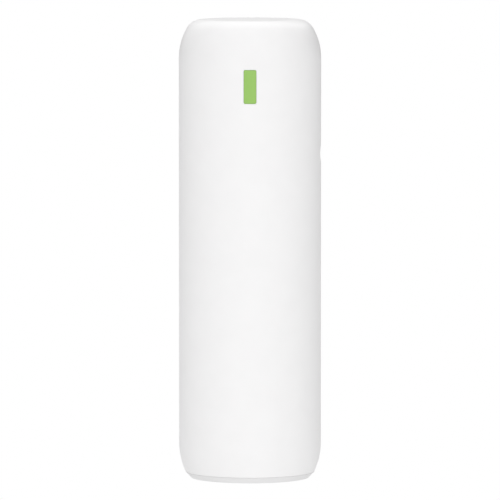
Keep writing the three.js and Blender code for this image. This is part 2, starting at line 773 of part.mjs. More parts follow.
// The power jack: a box with a round nose, and a centre pin of its own.
function makeDcPort() {
  const half = DC_JACK.width / 2;
  const back = -DC_JACK.nose - DC_JACK.body;
  const body = box([-ETHERNET.height / 2, back, -half], [DC_JACK.top, -DC_JACK.nose, half]);
  const nose = prismY(circle(DC_JACK.noseR), -DC_JACK.nose - 1, 0, 12);
  const bore = prismY(circle(DC_JACK.boreR), -DC_JACK.boreDepth, 1, 10);
  const pin = prismY(circle(DC_JACK.pinR), GAP - DC_JACK.boreDepth, -0.8, 5);
  const port = group(
    node("dc_jack", carve(fuse(body, nose), bore), blackPlastic),
    node("dc_jack_pin", pin, steel),
  );
  port.position.set(0, MOUTH_Y, DC_JACK_Z);
  return port;
}

// The recessed reset switch, pressed with a pin through the panel.
function makeResetSwitch() {
  const plungerR = 0.85;
  const boreR = 1.15;
  const bodyFront = 18.5;
  const reach = RESET.x - ON_BOARD_X;
  const body = box([-reach, bodyFront - 5.5, -2.6], [reach, bodyFront, 2.6]);
  const bore = prismY(circle(boreR), bodyFront - 2, bodyFront + 1, 5);
  const plunger = prismY(circle(plungerR), bodyFront - 1.5, bodyFront + 2, 5);
  const reset = group(
    node("reset_switch", carve(body, bore), blackPlastic),
    node("reset_plunger", plunger, paleGrey),
  );
  reset.position.set(RESET.x, 0, RESET.z);
  return reset;
}

// An upright capacitor on the board's +X side.
function makeCapacitor(name, y, z) {
  const geometry = prismX(circle(4), 0, 11, 9);
  return node(name, geometry, capacitorBlue, [ON_BOARD_X, y, z]);
}

// The comb-shaped section of the heatsink: a base plate with upright fins towards -X.
function heatsinkSection() {
  const half = HEATSINK.width / 2;
  const finRoot = HEATSINK.baseX - HEATSINK.base;
  const finTip = finRoot - FINS.depth;
  const points = [
    [HEATSINK.baseX, -half],
    [HEATSINK.baseX, half],
    [finRoot, half],
  ];
  for (let i = FINS.count - 1; i >= 0; i -= 1) {
    const y = (i - (FINS.count - 1) / 2) * FINS.pitch;
    const high = y + FINS.thickness / 2;
    const low = y - FINS.thickness / 2;
    points.push([finRoot, high], [finTip, high], [finTip, low], [finRoot, low]);
  }
  points.push([finRoot, -half]);
  return new THREE.Shape(points.map(([x, y]) => new THREE.Vector2(x, y)));
}

function heatsinkScrewPlaces() {
  return HEATSINK_SCREW.z.flatMap((z) => [-HEATSINK_SCREW.y, HEATSINK_SCREW.y].map((y) => [y, z]));
}

function makeHeatsink() {
  const comb = prismZ(heatsinkSection(), HEATSINK.zLow, HEATSINK.zHigh);
  const back = BOARD.x - GAP;
  const posts = heatsinkScrewPlaces().map(([y, z]) =>
    prismX(circle(2.5), HEATSINK.baseX - 0.5, back, 6).translate(0, y, z),
  );
  const holes = heatsinkScrewPlaces().map(([y, z]) =>
    prismX(circle(HEATSINK_SCREW.shaftR + GAP), HEATSINK.baseX - 5, back + 1, 6).translate(0, y, z),
  );
  return node("heatsink", carve(fuse(comb, ...posts), ...holes), aluminium);
}

// The heatsink's screws go in from the fin side, towards the board.
function makeHeatsinkScrews() {
  const headX = HEATSINK.baseX - HEATSINK.base - GAP - HEATSINK_SCREW.headH;
  return heatsinkScrewPlaces().map(([y, z], i) => {
    const geometry = screwGeometry(HEATSINK_SCREW).rotateY(Math.PI / 2);
    return node(`heatsink_screw_${i + 1}`, geometry, steel, [headX, y, z]);
  });
}

function makeProcessor() {
  const chipBack = BOARD.x - GAP;
  const chip = box([chipBack - 1.2, -8, 87], [chipBack, 8, 103]);
  const padBack = chipBack - 1.2 - GAP;
  const pad = box([HEATSINK.baseX + GAP, -7.5, 87.5], [padBack, 7.5, 102.5]);
  return [node("processor_chip", chip, chipBlack), node("thermal_pad", pad, padPink)];
}

function makeBoardComponents() {
  const magnetics = { y: -5.5, width: 13, height: 14, thickness: 5 };
  const can = { z: 121, width: 18, height: 34, thickness: 3 };
  return [
    ...ETHERNET_JACK_Z.map((z, i) =>
      makeComponent(`ethernet_magnetics_${i + 1}`, chipBlack, { ...magnetics, z }),
    ),
    makeComponent("power_inductor", blackPlastic, { y: -13, z: 33, width: 10, height: 10, thickness: 4 }),
    makeComponent("memory_chip", chipBlack, { y: -10.5, z: 92, width: 11, height: 9, thickness: 1.2 }),
    makeComponent("flash_chip", chipBlack, { y: -16.5, z: 80.5, width: 6, height: 5, thickness: 1.5 }),
    makeShieldCan("shield_can_1", { ...can, y: -9.8 }),
    makeShieldCan("shield_can_2", { ...can, y: 9.4 }),
    makeCapacitor("bulk_capacitor_1", -7, 20.5),
    makeCapacitor("bulk_capacitor_2", 3, 20.5),
  ];
}

// ---------------------------------------------------------------- assembly

const housing = group(
  makeOuterSleeve(),
  makeBottomCover(),
  makeFootRing(),
  makeRatingLabel(),
  ...makeBaseScrews(),
  makePortPanel(),
);
const pairing = group(
  makePairButton(),
  makePairSwitchPlunger(),
  makePairSwitch(),
  makeButtonBoard(),
  makeButtonLead(),
);
const antennas = group(
  makeAntennaCarrier(),
  ...makeCarrierScrews(),
  ...makeAntennas(),
  ...makeAntennaLeads(),
);
const electronics = group(
  makeMainBoard(),
  ...makeEthernetPorts(),
  makeDcPort(),
  makeResetSwitch(),
  ...makeBoardComponents(),
  ...makeProcessor(),
  makeHeatsink(),
  ...makeHeatsinkScrews(),
);

const statusLight = group(makeStatusLight(), makeLedLead());

export default group(housing, statusLight, pairing, makeInnerFrame(), antennas, electronics);
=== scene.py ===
"""The looks of the mesh wifi node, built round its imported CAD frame.

Shapes are worked out in millimetres, in the frame's own axes: +Z up and the front facing -Y.
"""

import json
import math

import bmesh
import bpy
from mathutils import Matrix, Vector
from mathutils.geometry import delaunay_2d_cdt


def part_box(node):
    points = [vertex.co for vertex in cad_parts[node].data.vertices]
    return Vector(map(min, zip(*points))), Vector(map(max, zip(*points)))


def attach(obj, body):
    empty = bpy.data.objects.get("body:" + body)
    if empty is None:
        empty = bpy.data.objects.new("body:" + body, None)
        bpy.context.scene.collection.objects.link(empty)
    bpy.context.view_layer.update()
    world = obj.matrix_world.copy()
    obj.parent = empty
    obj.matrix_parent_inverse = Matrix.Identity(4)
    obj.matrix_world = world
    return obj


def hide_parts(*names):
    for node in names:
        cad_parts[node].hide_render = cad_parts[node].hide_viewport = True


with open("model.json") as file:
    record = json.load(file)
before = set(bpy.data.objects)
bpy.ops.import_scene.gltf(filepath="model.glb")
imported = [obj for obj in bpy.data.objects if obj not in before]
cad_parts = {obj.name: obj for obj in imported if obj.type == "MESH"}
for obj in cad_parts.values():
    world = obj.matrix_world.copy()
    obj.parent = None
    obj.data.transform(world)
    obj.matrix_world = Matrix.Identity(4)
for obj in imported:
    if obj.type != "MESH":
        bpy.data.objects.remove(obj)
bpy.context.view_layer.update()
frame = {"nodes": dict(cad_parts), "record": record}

# ---------------------------------------------------------------- dimensions, in millimetres

MM = 0.001


def box_mm(node):
    """A node's lowest and highest corners at rest."""
    low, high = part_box(node)
    return low / MM, high / MM


def middle_mm(node):
    low, high = box_mm(node)
    return (low + high) / 2


sleeve_low, sleeve_high = box_mm("outer_sleeve")
cover_low, cover_high = box_mm("bottom_cover")
foot_low, foot_high = box_mm("foot_ring")
guide_tail = box_mm("light_guide")[1].y
button_tail = box_mm("pair_button")[0].x

RADIUS = sleeve_high.x
TOP_Z = sleeve_high.z
SEAM_Z = sleeve_low.z
WALL = 2.0
SEAM_GAP = 0.03
SLEEVE_END_Z = SEAM_Z - SEAM_GAP / 2
BASE_RIM_Z = SLEEVE_END_Z - SEAM_GAP
COLUMNS = 144  # steps round the turned shapes

# The tower's curves, as radii, rises and turns.
LOW_ARC_R = 30.5
LOW_ARC_RISE = 12.75
SHOULDER_R = 26.4
SHOULDER_TURN = 29.8
EDGE_R = 7.5
DOME_SLOPE = 2.1

FRONT, SIDE, REAR = -math.pi / 2, 0.0, math.pi / 2

# ---------------------------------------------------------------- mesh building


def arc(centre_r, centre_z, radius, start, end, steps):
    """Points (radius, height) on an arc; the angles are in degrees above the outward direction."""
    points = []
    for i in range(steps + 1):
        angle = math.radians(start + (end - start) * i / steps)
        points.append((centre_r + radius * math.cos(angle), centre_z + radius * math.sin(angle)))
    return points


def without_repeats(points):
    kept = []
    for point in points:
        if not kept or math.dist(point, kept[-1]) > 1e-6:
            kept.append(point)
    if math.dist(kept[0], kept[-1]) < 1e-6:
        kept.pop()
    return kept


def rounded_outline(width, height, corner, spacing=1.5, turn_steps=6):
    """Anticlockwise points of a rectangle with round corners, centred on the origin."""
    half_x, half_y = width / 2 - corner, height / 2 - corner
    centres = [(half_x, half_y), (-half_x, half_y), (-half_x, -half_y), (half_x, -half_y)]
    runs = [((-1, 0), 2 * half_x), ((0, -1), 2 * half_y), ((1, 0), 2 * half_x), ((0, 1), 2 * half_y)]
    points = []
    for turn, (centre, (along, length)) in enumerate(zip(centres, runs)):
        for i in range(turn_steps + 1):
            angle = math.radians(90 * (turn + i / turn_steps))
            points.append((centre[0] + corner * math.cos(angle), centre[1] + corner * math.sin(angle)))
        end = points[-1]
        pieces = max(1, round(length / spacing))
        for i in range(1, pieces):
            step = length * i / pieces
            points.append((end[0] + along[0] * step, end[1] + along[1] * step))
    return without_repeats(points)


def circle_outline(radius, steps=32):
    angles = [2 * math.pi * i / steps for i in range(steps)]
    return [(radius * math.cos(a), radius * math.sin(a)) for a in angles]


def turned(radius, columns=COLUMNS):
    """The (x, y) points of one whole turn at a radius."""
    angles = [-math.pi + 2 * math.pi * i / columns for i in range(columns)]
    return [(radius * math.cos(a), radius * math.sin(a)) for a in angles]


def moved(points, x, y, turn=0.0):
    """The points turned about the origin by turn, in radians, and then moved."""
    c, s = math.cos(turn), math.sin(turn)
    return [(x + c * px - s * py, y + s * px + c * py) for px, py in points]


def is_inside(point, loop):
    """Whether a flat point is inside a closed loop."""
    x, y = point
    inside = False
    for (ax, ay), (bx, by) in zip(loop, loop[1:] + loop[:1]):
        if (ay > y) != (by > y) and x < ax + (y - ay) * (bx - ax) / (by - ay):
            inside = not inside
    return inside


def extent(loop):
    """A loop's lowest and highest x, and its lowest and highest y."""
    xs, ys = [p[0] for p in loop], [p[1] for p in loop]
    return min(xs), max(xs), min(ys), max(ys)


def is_near(point, bounds, margin):
    """Whether a flat point is within a margin of an extent."""
    x, y = point
    low_x, high_x, low_y, high_y = bounds
    return low_x - margin < x < high_x + margin and low_y - margin < y < high_y + margin


class Hole:
    """A hole with an outline that an offset grows. path lists (offset, depth) from the face inwards."""

    def __init__(self, outline, path):
        self.outline = outline
        self.path = path

    def first(self):
        return self.outline(self.path[0][0])

    def last(self):
        return self.outline(self.path[-1][0])


def round_lip(radius, steps=3):
    """The start of a hole's path: a quarter round from the face into the hole."""
    angles = [math.pi / 2 * i / steps for i in range(steps + 1)]
    return [(radius * (1 - math.sin(a)), radius * (1 - math.cos(a))) for a in angles]


class Shell:
    """The vertices and faces of one piece, in millimetres. Points that meet are merged when it is built."""

    def __init__(self):
        self.points = []
        self.faces = []

    def ring(self, points):
        start = len(self.points)
        self.points.extend(points)
        return list(range(start, start + len(points)))

    def bridge(self, a, b):
        count = len(a)
        for i in range(count):
            j = (i + 1) % count
            self.faces.append((a[i], a[j], b[j], b[i]))

    def bridges(self, rings):
        for a, b in zip(rings, rings[1:]):
            self.bridge(a, b)

    def patch(self, outline, holes, place, grid=()):
        """The face inside an outline and outside some holes, all flat loops, put in space by place."""
        loops = [outline, *holes]
        flat = [Vector(p) for loop in loops for p in loop] + [Vector(p) for p in grid]
        edges, start = [], 0
        for loop in loops:
            edges += [(start + i, start + (i + 1) % len(loop)) for i in range(len(loop))]
            start += len(loop)
        corners, _, triangles, _, _, _ = delaunay_2d_cdt(flat, edges, [], 0, 1e-6)
        extents = [extent(loop) for loop in holes]
        base = len(self.points)
        self.points.extend(place(corner.x, corner.y) for corner in corners)
        for triangle in triangles:
            middle = sum((corners[i] for i in triangle), Vector((0, 0))) / 3
            near = [loop for bounds, loop in zip(extents, holes) if is_near(middle, bounds, 0)]
            in_hole = any(is_inside(middle, loop) for loop in near)
            if not in_hole and is_inside(middle, outline):
                self.faces.append([base + i for i in triangle])

    def rim(self, hole, place):
        """The rings of a hole's path; place takes a flat point and a depth."""
        rings = []
        for offset, depth in hole.path:
            rings.append(self.ring([place(x, y, depth) for x, y in hole.outline(offset)]))
        self.bridges(rings)

    def revolve(self, profile, columns=COLUMNS):
        """Turns (radius, height) points about the Z axis; a point on the axis is a pole."""
        rings = []
        for radius, height in profile:
            if radius < 1e-6:
                rings.append(self.ring([(0.0, 0.0, height)]) * columns)
            else:
                rings.append(self.ring([(x, y, height) for x, y in turned(radius, columns)]))
        self.bridges(rings)

    def build(self, name, body, slot, replaces=(), sharp=35.0, quads=True):
        bm = bmesh.new()
        verts = [bm.verts.new(Vector(p) * MM) for p in self.points]
        for face in self.faces:
            unique = list(dict.fromkeys(face))
            if len(unique) > 2:
                bm.faces.new([verts[i] for i in unique])
        bmesh.ops.remove_doubles(bm, verts=bm.verts, dist=2e-6)
        bmesh.ops.dissolve_degenerate(bm, edges=bm.edges, dist=1e-7)
        bmesh.ops.recalc_face_normals(bm, faces=bm.faces)
        if quads:
            limits = {"angle_face_threshold": math.radians(8), "angle_shape_threshold": math.radians(50)}
            bmesh.ops.join_triangles(bm, faces=bm.faces, **limits)
        for edge in bm.edges:
            edge.smooth = edge.calc_face_angle(0.0) < math.radians(sharp)
        for face in bm.faces:
            face.smooth = True
        mesh = bpy.data.meshes.new(name)
        bm.to_mesh(mesh)
        bm.free()
        piece = bpy.data.objects.new(name, mesh)
        bpy.context.scene.collection.objects.link(piece)
        normals = piece.modifiers.new("weighted normals", "WEIGHTED_NORMAL")
        normals.keep_sharp = True
        mesh.materials.append(materials[slot])
        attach(piece, body)
        if replaces:
            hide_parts(*replaces)
        return piece


# ---------------------------------------------------------------- materials


class Nodes:
    """A material's node tree, with short names for the nodes that the materials share."""

    def __init__(self, name):
        self.material = bpy.data.materials.new(name)
        self.material.use_nodes = True
        self.tree = self.material.node_tree
        self.shader = self.tree.nodes["Principled BSDF"]
        self.place = self.tree.nodes.new("ShaderNodeTexCoord").outputs["Object"]

    def link(self, output, target):
        self.tree.links.new(output, target)

    def noise(self, size_mm, detail=2.0, stretch=(1, 1, 1)):
        """Noise with features about size_mm across, from 0 to 1."""
        mapping = self.tree.nodes.new("ShaderNodeMapping")
        mapping.inputs["Scale"].default_value = stretch
        self.link(self.place, mapping.inputs["Vector"])
        noise = self.tree.nodes.new("ShaderNodeTexNoise")
        noise.inputs["Scale"].default_value = 1 / (size_mm * MM)
        noise.inputs["Detail"].default_value = detail
        self.link(mapping.outputs["Vector"], noise.inputs["Vector"])
        return noise.outputs["Fac"]

    def ramp(self, value, low, high, start=0.3, end=0.7):
        ramp = self.tree.nodes.new("ShaderNodeValToRGB")
        ramp.color_ramp.elements[0].position = start
        ramp.color_ramp.elements[1].position = end
        ramp.color_ramp.elements[0].color = (*low, 1)
        ramp.color_ramp.elements[1].color = (*high, 1)
        self.link(value, ramp.inputs["Fac"])
        return ramp.outputs["Color"]

    def spread(self, value, low, high):
        """The value's 0 to 1 moved to low to high."""
        spread = self.tree.nodes.new("ShaderNodeMapRange")
        spread.inputs["To Min"].default_value = low
        spread.inputs["To Max"].default_value = high
        self.link(value, spread.inputs["Value"])
        return spread.outputs["Result"]

    def bump(self, height, strength, depth_mm):
        bump = self.tree.nodes.new("ShaderNodeBump")
        bump.inputs["Strength"].default_value = strength
        bump.inputs["Distance"].default_value = depth_mm * MM
        self.link(height, bump.inputs["Height"])
        self.link(bump.outputs["Normal"], self.shader.inputs["Normal"])

    def set(self, **values):
        for name, value in values.items():
            self.shader.inputs[name.replace("_", " ").title().replace("Ior", "IOR")].default_value = value


def shade(colour, factor):
    """A colour made darker or lighter by a factor."""
    return tuple(min(1.0, c * factor) for c in colour)


def moulded(name, colour, roughness, grain_mm=0.35, grain=0.12, **values):
    """Moulded plastic or rubber: a fine spark-eroded grain, and patches of slightly different gloss."""
    nodes = Nodes(name)
    tint = nodes.ramp(nodes.noise(9.0), shade(colour, 0.985), colour)
    nodes.link(tint, nodes.shader.inputs["Base Color"])
    gloss = nodes.spread(nodes.noise(4.0, detail=4.0), roughness - 0.05, roughness + 0.05)
    nodes.link(gloss, nodes.shader.inputs["Roughness"])
    nodes.bump(nodes.noise(grain_mm, detail=3.0), grain, 0.03)
    nodes.set(**values)
    return nodes.material


def metal(name, colour, roughness, streaks=(1, 1, 1)):
    """Metal with drawn or brushed streaks, short along the axis that streaks scales up."""
    nodes = Nodes(name)
    streak = nodes.noise(1.2, detail=5.0, stretch=streaks)
    nodes.link(nodes.ramp(streak, shade(colour, 0.88), colour), nodes.shader.inputs["Base Color"])
    nodes.link(nodes.spread(streak, roughness - 0.08, roughness + 0.1), nodes.shader.inputs["Roughness"])
    nodes.bump(streak, 0.15, 0.02)
    nodes.set(metallic=1.0)
    return nodes.material


def circuit_board(name):
    """Solder mask over copper: tracks show as a slightly lighter pattern of straight runs."""
    nodes = Nodes(name)
    bricks = nodes.tree.nodes.new("ShaderNodeTexBrick")
    bricks.inputs["Scale"].default_value = 1 / (6 * MM)
    bricks.inputs["Mortar Size"].default_value = 0.03
    bricks.inputs["Color1"].default_value = (0.010, 0.075, 0.035, 1)
    bricks.inputs["Color2"].default_value = (0.012, 0.090, 0.042, 1)
    bricks.inputs["Mortar"].default_value = (0.020, 0.140, 0.065, 1)
    turn = nodes.tree.nodes.new("ShaderNodeMapping")
    turn.inputs["Rotation"].default_value = (math.pi / 2, 0, math.pi / 2)
    nodes.link(nodes.place, turn.inputs["Vector"])
    nodes.link(turn.outputs["Vector"], bricks.inputs["Vector"])
    nodes.link(bricks.outputs["Color"], nodes.shader.inputs["Base Color"])
    nodes.bump(bricks.outputs["Fac"], 0.2, 0.03)
    nodes.set(roughness=0.32)
    return nodes.material


def lit_lens(name, colour, dim_colour, glow):
    """The status window: frosted green plastic with a soft glow, slightly uneven in colour."""
    nodes = Nodes(name)
    cloud = nodes.noise(5.0)
    for socket in ("Base Color", "Emission Color"):
        nodes.link(nodes.ramp(cloud, dim_colour, colour, 0.1, 0.5), nodes.shader.inputs[socket])
    nodes.link(nodes.spread(nodes.noise(1.0), 0.3, 0.42), nodes.shader.inputs["Roughness"])
    nodes.bump(nodes.noise(0.25), 0.06, 0.02)
    nodes.set(emission_strength=glow)
    return nodes.material


SHELL_WHITE = (0.872, 0.867, 0.869)
# Painted shade: the base's white is darker than the shell's, to stand in for the shade that falls on its
# downward-facing chamfer.
BASE_WHITE_PAINTED_SHADE = (0.768, 0.765, 0.766)
materials = {
    "shell_white": moulded("satin white shell", SHELL_WHITE, 0.46, 0.3, 0.10),
    "base_white": moulded("satin white base with painted shade", BASE_WHITE_PAINTED_SHADE, 0.5, 0.3, 0.10),
    "panel_grey": moulded("matte grey panel", (0.52, 0.53, 0.54), 0.58, 0.4, 0.25),
    "lens_green": lit_lens("green status window", (0.290, 0.506, 0.121), (0.276, 0.489, 0.111), 0.06),
    "foot_rubber": moulded("grey rubber", (0.16, 0.165, 0.17), 0.85, 0.5, 0.4),
    "label_film": moulded("blank film label", (0.74, 0.74, 0.72), 0.35, 1.2, 0.05),
    "frame_grey": moulded("frame plastic", (0.30, 0.32, 0.34), 0.6, 0.4, 0.3),
    "black_plastic": moulded("black plastic", (0.018, 0.018, 0.020), 0.42, 0.35, 0.2),
    "chip_black": moulded("chip epoxy", (0.030, 0.030, 0.033), 0.55, 0.25, 0.4),
    "lead_black": moulded("cable jacket", (0.022, 0.022, 0.024), 0.5, 0.6, 0.15),
    "capacitor_sleeve": moulded("capacitor sleeve", (0.03, 0.05, 0.11), 0.3, 1.5, 0.05),
    "thermal_silicone": moulded("thermal silicone", (0.45, 0.33, 0.36), 0.8, 0.5, 0.3),
    "led_lens": moulded("clear epoxy", (0.86, 0.88, 0.80), 0.2, 0.8, 0.05),
    "screw_steel": metal("zinc plated steel", (0.62, 0.63, 0.65), 0.34),
    "shield_steel": metal("tinned steel", (0.68, 0.69, 0.70), 0.38, (1, 1, 9)),
    "contact_gold": metal("gold plating", (0.86, 0.62, 0.24), 0.24),
    "heatsink_aluminium": metal("anodised aluminium", (0.72, 0.73, 0.75), 0.36, (9, 9, 1)),
    "board_green": circuit_board("green solder mask"),
}


def dress_cad_nodes():
    """Gives each CAD node the finish of its slot, before finer pieces take the place of some."""
    for part in frame["record"]["subparts"]:
        mesh = frame["nodes"][part["node"]].data
        mesh.materials.clear()
        mesh.materials.append(materials[part["material_slot"]])


# ---------------------------------------------------------------- sleeve


def skin_profile(inset):
    """The tower's skin as two lists of (radius, height): below its straight side, and above it."""
    low_r = LOW_ARC_R - inset
    low_turn = math.degrees(math.asin(LOW_ARC_RISE / low_r))
    below = arc(RADIUS - LOW_ARC_R, SEAM_Z + LOW_ARC_RISE, low_r, -low_turn, 0, steps=14)
    turn, edge_end = math.radians(SHOULDER_TURN), 90 - DOME_SLOPE
    edge_step = SHOULDER_R - EDGE_R
    edge_r = RADIUS - SHOULDER_R + edge_step * math.cos(turn)
    dome_edge = edge_r + EDGE_R * math.cos(math.radians(edge_end))
    dome_r = dome_edge / math.cos(math.radians(edge_end))
    dome_z = TOP_Z - dome_r
    edge_z = dome_z + (dome_r - EDGE_R) * math.sin(math.radians(edge_end))
    shoulder_z = edge_z - edge_step * math.sin(turn)
    shoulder = arc(RADIUS - SHOULDER_R, shoulder_z, SHOULDER_R - inset, 0, SHOULDER_TURN, steps=14)
    edge = arc(edge_r, edge_z, EDGE_R - inset, SHOULDER_TURN, edge_end, steps=12)
    dome = arc(0, dome_z, dome_r - inset, edge_end, 90, steps=6)
    return below, shoulder + edge[1:] + dome[1:-1] + [(0.0, TOP_Z - inset)]


def low_skin_radius(height):
    """The radius of the tower's skin at a height in its lower curve."""
    drop = SEAM_Z + LOW_ARC_RISE - height
    return RADIUS - LOW_ARC_R + math.sqrt(LOW_ARC_R**2 - drop**2)


class WallHole(Hole):
    """A hole through the sleeve's straight side, cut straight in from azimuth, and across to one side."""

    def __init__(self, azimuth, z, width, height, corner, lip, across=0.0):
        def outline(offset):
            grown = rounded_outline(width + 2 * offset, height + 2 * offset, corner + offset)
            return moved(grown, across, z)

        super().__init__(outline, round_lip(lip))
        self.azimuth = azimuth

    def on_skin(self, offset, radius):
        """The outline unrolled: the distance round a skin of that radius, and the height."""
        points = self.outline(offset)
        return [(radius * (self.azimuth + math.asin(across / radius)), z) for across, z in points]

    def point(self, across, z, radius, depth):
        along = math.sqrt(radius**2 - across**2) - depth
        c, s = math.cos(self.azimuth), math.sin(self.azimuth)
        return (c * along - s * across, s * along + c * across, z)


def rolled(radius):
    """Puts an unrolled point, the distance round and the height, back on the skin."""

    def place(distance, z):
        angle = distance / radius
        return (radius * math.cos(angle), radius * math.sin(angle), z)

    return place


def side_patch(shell, radius, low_z, high_z, holes, row_height, margin):
    """The sleeve's straight side at a radius, between two heights, round some unrolled holes."""
    rows = round((high_z - low_z) / row_height)
    xs = [radius * (-math.pi + 2 * math.pi * i / COLUMNS) for i in range(COLUMNS + 1)]
    zs = [low_z + (high_z - low_z) * j / rows for j in range(rows + 1)]
    outline = [(x, low_z) for x in xs]
    outline += [(xs[-1], z) for z in zs[1:]]
    outline += [(x, high_z) for x in reversed(xs[:-1])]
    outline += [(xs[0], z) for z in reversed(zs[1:-1])]
    extents = [extent(loop) for loop in holes]
    grid = []
    for x in xs[1:-1]:
        for z in zs[1:-1]:
            if not any(is_near((x, z), bounds, margin) for bounds in extents):
                grid.append((x, z))
    shell.patch(outline, holes, rolled(radius), grid)


# The sleeve's holes and what fills them. The window and the button have a gap on each side. The
# bay's hole and its tray are each inset from the bay's own outline.
WINDOW = {
    "z": middle_mm("light_guide").z,
    "width": 5.35,
    "height": 14.5,
    "corner": 0.6,
    "gap": 0.08,
    "lip": 0.12,
}
BAY = {
    "z": middle_mm("port_panel").z,
    "width": 31.0,
    "height": 70.0,
    "corner": 4.0,
    "inset": 0.1,
    "lip": 0.3,
}
BUTTON = {
    "z": middle_mm("pair_button").z,
    "width": 13.0,
    "height": 7.4,
    "dish_depth": 0.4,
    "gap": 0.14,
    "lip": 0.2,
}
VENT = {"width": 1.8, "height": 16.0, "columns": 5, "pitch": 4.6, "rows": (112.0, 133.0), "lip": 0.35}


def window_hole():
    gap = WINDOW["gap"]
    width, height = WINDOW["width"] + 2 * gap, WINDOW["height"] + 2 * gap
    return WallHole(FRONT, WINDOW["z"], width, height, WINDOW["corner"] + gap, WINDOW["lip"])


def bay_hole():
    inset = BAY["inset"]
    width, height = BAY["width"] - 2 * inset, BAY["height"] - 2 * inset
    return WallHole(REAR, BAY["z"], width, height, BAY["corner"] - inset, BAY["lip"])


def button_hole():
    width, height = BUTTON["width"] + 2 * BUTTON["gap"], BUTTON["height"] + 2 * BUTTON["gap"]
    return WallHole(SIDE, BUTTON["z"], width, height, height / 2, BUTTON["lip"])


def vent_holes():
    width, height, count = VENT["width"], VENT["height"], VENT["columns"]
    places = [(z, (i - (count - 1) / 2) * VENT["pitch"]) for z in VENT["rows"] for i in range(count)]
    return [WallHole(REAR, z, width, height, width / 2, VENT["lip"], across) for z, across in places]


def make_sleeve():
    shell = Shell()
    inner_r = RADIUS - WALL
    below, above = skin_profile(0)
    inner_below, inner_above = skin_profile(WALL)
    holes = [window_hole(), bay_hole(), button_hole(), *vent_holes()]
    lip, end_z = 0.1, SLEEVE_END_Z
    end_r, inner_end_r = below[0][0], inner_below[0][0]
    bottom = [(inner_end_r, end_z), (end_r - lip, end_z), (end_r - 0.3 * lip, end_z + 0.3 * lip)]
    bottom.append((low_skin_radius(SEAM_Z + lip), SEAM_Z + lip))
    shell.revolve([inner_below[0], *bottom, *below[1:]])
    shell.revolve(inner_below)
    shell.revolve(above)
    shell.revolve(inner_above)
    skin_holes = [hole.on_skin(hole.path[0][0], RADIUS) for hole in holes]
    inner_holes = [hole.on_skin(0.0, inner_r) for hole in holes]
    side_patch(shell, RADIUS, below[-1][1], above[0][1], skin_holes, row_height=2.8, margin=1.0)
    side_patch(
        shell, inner_r, inner_below[-1][1], inner_above[0][1], inner_holes, row_height=14.0, margin=1.5
    )
    for hole in holes:
        rings = []
        for offset, depth in hole.path:
            rings.append(shell.ring([hole.point(x, z, RADIUS, depth) for x, z in hole.outline(offset)]))
        rings.append(shell.ring([hole.point(x, z, inner_r, 0.0) for x, z in hole.outline(0.0)]))
        shell.bridges(rings)
    return shell.build("sleeve_shell", "housing", "shell_white", ["outer_sleeve"])


# ---------------------------------------------------------------- base

BASE_R = 25.7
SPIGOT_R = 25.3
SPIGOT_WALL = 2.0
FOOT_INNER_R = 19.2
FLOOR_THICKNESS = 2.2
FOOT_GAP = 0.15
# The base screws stand on a circle. Heads, shafts, recesses and bosses are given as radii.
SCREW = {"orbit": 14.0, "angles": (90, 210, 330), "head": 2.6, "head_height": 2.0, "shaft": 1.3}
SCREW_HOLE = {"recess": 2.9, "recess_depth": 2.6, "shaft": 1.6}
BOSS = {"radius": 4.2, "top": 6.0}
LABEL = {"recess": 7.0, "depth": 0.4}
SLOT = {"start": 10.0, "end": 18.0, "width": 1.8, "offsets": (24, 48, 72, 96)}


def screw_places():
    """Each base screw's x and y, and its angle round the base."""
    angles = [math.radians(a) for a in SCREW["angles"]]
    return [(SCREW["orbit"] * math.cos(a), SCREW["orbit"] * math.sin(a), a) for a in angles]


def slot_outline(angle, offset):
    length = SLOT["end"] - SLOT["start"] + 2 * offset
    width = SLOT["width"] + 2 * offset
    middle = (SLOT["start"] + SLOT["end"]) / 2
    straight = moved(rounded_outline(length, width, width / 2, spacing=2.0, turn_steps=5), middle, 0)
    return moved(straight, 0, 0, angle)


def base_slots():
    path = round_lip(0.3) + [(0.0, FLOOR_THICKNESS)]
    angles = [math.radians(start + offset) for start in SCREW["angles"] for offset in SLOT["offsets"]]
    return [Hole(lambda offset, a=a: slot_outline(a, offset), path) for a in angles]


def base_screw_holes():
    """Each goes up from the recess for its head through its boss, and down the boss to the floor."""
    recess, recess_top = SCREW_HOLE["recess"], SCREW_HOLE["recess_depth"]
    boss_top, edge = BOSS["top"] - cover_low.z, 0.3
    to_shaft, to_boss = SCREW_HOLE["shaft"] - recess, BOSS["radius"] - recess
    path = round_lip(edge)
    path += [(0.0, recess_top), (to_shaft, recess_top), (to_shaft, boss_top)]
    path += [(to_boss - edge, boss_top), (to_boss, boss_top - edge), (to_boss, FLOOR_THICKNESS)]
    return [
        Hole(lambda offset, x=x, y=y: moved(circle_outline(recess + offset), x, y), path)
        for x, y, _ in screw_places()
    ]


def label_hole():
    path = round_lip(0.15) + [(0.0, LABEL["depth"])]
    return Hole(lambda offset: circle_outline(LABEL["recess"] + offset, 64), path)


